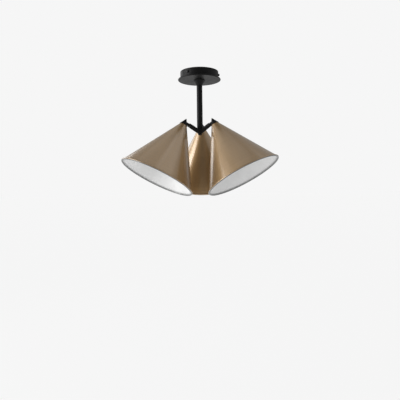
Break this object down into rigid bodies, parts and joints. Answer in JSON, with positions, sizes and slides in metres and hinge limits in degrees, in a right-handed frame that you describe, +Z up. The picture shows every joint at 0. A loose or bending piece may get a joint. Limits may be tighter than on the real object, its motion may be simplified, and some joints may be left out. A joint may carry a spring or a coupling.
{
  "type": "ceiling light",
  "caption": "Ceiling light with a round canopy, a short stem and a three-armed hub; each arm ends in a fork in which a conical metal shade tilts.",
  "frame": {"origin": "centre of the face that lies against the ceiling, on the stem's axis", "axes": "+Z up into the ceiling, so the lamp hangs below the origin; +Y towards the rear head, +X to the right; the left and right heads point to -X -Y and +X -Y"},
  "size_m": [0.4074, 0.3773, 0.3447],
  "materials": {
    "black_coat": "satin black powder coat",
    "black_screw": "semi-gloss black screws",
    "shade_metal": "spun sheet, brushed champagne-brass lacquer outside, satin white inside",
    "shade_white": "satin white paint on the inside of each shade; only used by the visual model",
    "bright_zinc": "bright zinc-plated steel",
    "plain_brass": "bare brass",
    "terminal_white": "natural white moulding",
    "washer_fibre": "natural nylon",
    "wire_brown": "smooth insulation, brown",
    "wire_blue": "smooth insulation, blue",
    "wire_green": "smooth insulation, green and yellow",
    "wire_black": "smooth insulation, dark grey",
    "woven_sleeve": "woven glass-fibre sleeve",
    "bush_black": "moulded, matt black",
    "holder_plastic": "moulded, satin white",
    "holder_ceramic": "unglazed"
  },
  "bodies": {
    "ceiling_frame": {"ceiling_bracket": "bright_zinc", "earth_screw": "plain_brass", "earth_lug": "bright_zinc", "canopy_cup": "black_coat", "canopy_disc": "black_coat", "canopy_screws": "black_screw", "terminal_block": "terminal_white", "terminal_clamps": "plain_brass", "terminal_screws": "bright_zinc", "block_screw": "bright_zinc", "stem_nipple": "bright_zinc", "nipple_nut": "bright_zinc", "nipple_washer": "bright_zinc", "stem_collar": "black_coat", "stem_tube": "black_coat", "hub": "black_coat", "arm_left": "black_coat", "arm_right": "black_coat", "arm_rear": "black_coat", "pivot_screws": "black_screw", "friction_washers": "washer_fibre", "live_wires": "wire_brown", "neutral_wires": "wire_blue", "wire_sleeve": "woven_sleeve", "earth_wire": "wire_green"},
    "head_left": {"neck_left": "black_coat", "cap_left": "black_coat", "shade_left": "shade_metal", "clamp_bush_left": "bush_black", "clamp_nut_left": "bright_zinc", "holder_cap_left": "holder_plastic", "holder_insert_left": "holder_ceramic", "holder_skirt_left": "holder_plastic", "thread_shell_left": "plain_brass", "contact_left": "plain_brass", "leads_left": "wire_black"},
    "head_right": {"neck_right": "black_coat", "cap_right": "black_coat", "shade_right": "shade_metal", "clamp_bush_right": "bush_black", "clamp_nut_right": "bright_zinc", "holder_cap_right": "holder_plastic", "holder_insert_right": "holder_ceramic", "holder_skirt_right": "holder_plastic", "thread_shell_right": "plain_brass", "contact_right": "plain_brass", "leads_right": "wire_black"},
    "head_rear": {"neck_rear": "black_coat", "cap_rear": "black_coat", "shade_rear": "shade_metal", "clamp_bush_rear": "bush_black", "clamp_nut_rear": "bright_zinc", "holder_cap_rear": "holder_plastic", "holder_insert_rear": "holder_ceramic", "holder_skirt_rear": "holder_plastic", "thread_shell_rear": "plain_brass", "contact_rear": "plain_brass", "leads_rear": "wire_black"}
  },
  "joints": [
    {"name": "tilt_left", "type": "hinge", "parent": "ceiling_frame", "child": "head_left", "pos_m": [-0.02625, -0.01516, -0.154], "axis": [-0.5126, 0.8582, -0.0257], "range_deg": [-4, 61.5]},
    {"name": "tilt_right", "type": "hinge", "parent": "ceiling_frame", "child": "head_right", "pos_m": [0.02625, -0.01516, -0.154], "axis": [-0.4742, -0.879, -0.0499], "range_deg": [-5, 60.5]},
    {"name": "tilt_rear", "type": "hinge", "parent": "ceiling_frame", "child": "head_rear", "pos_m": [0, 0.03031, -0.154], "axis": [1, 0, 0], "range_deg": [-1.5, 64]}
  ]
}
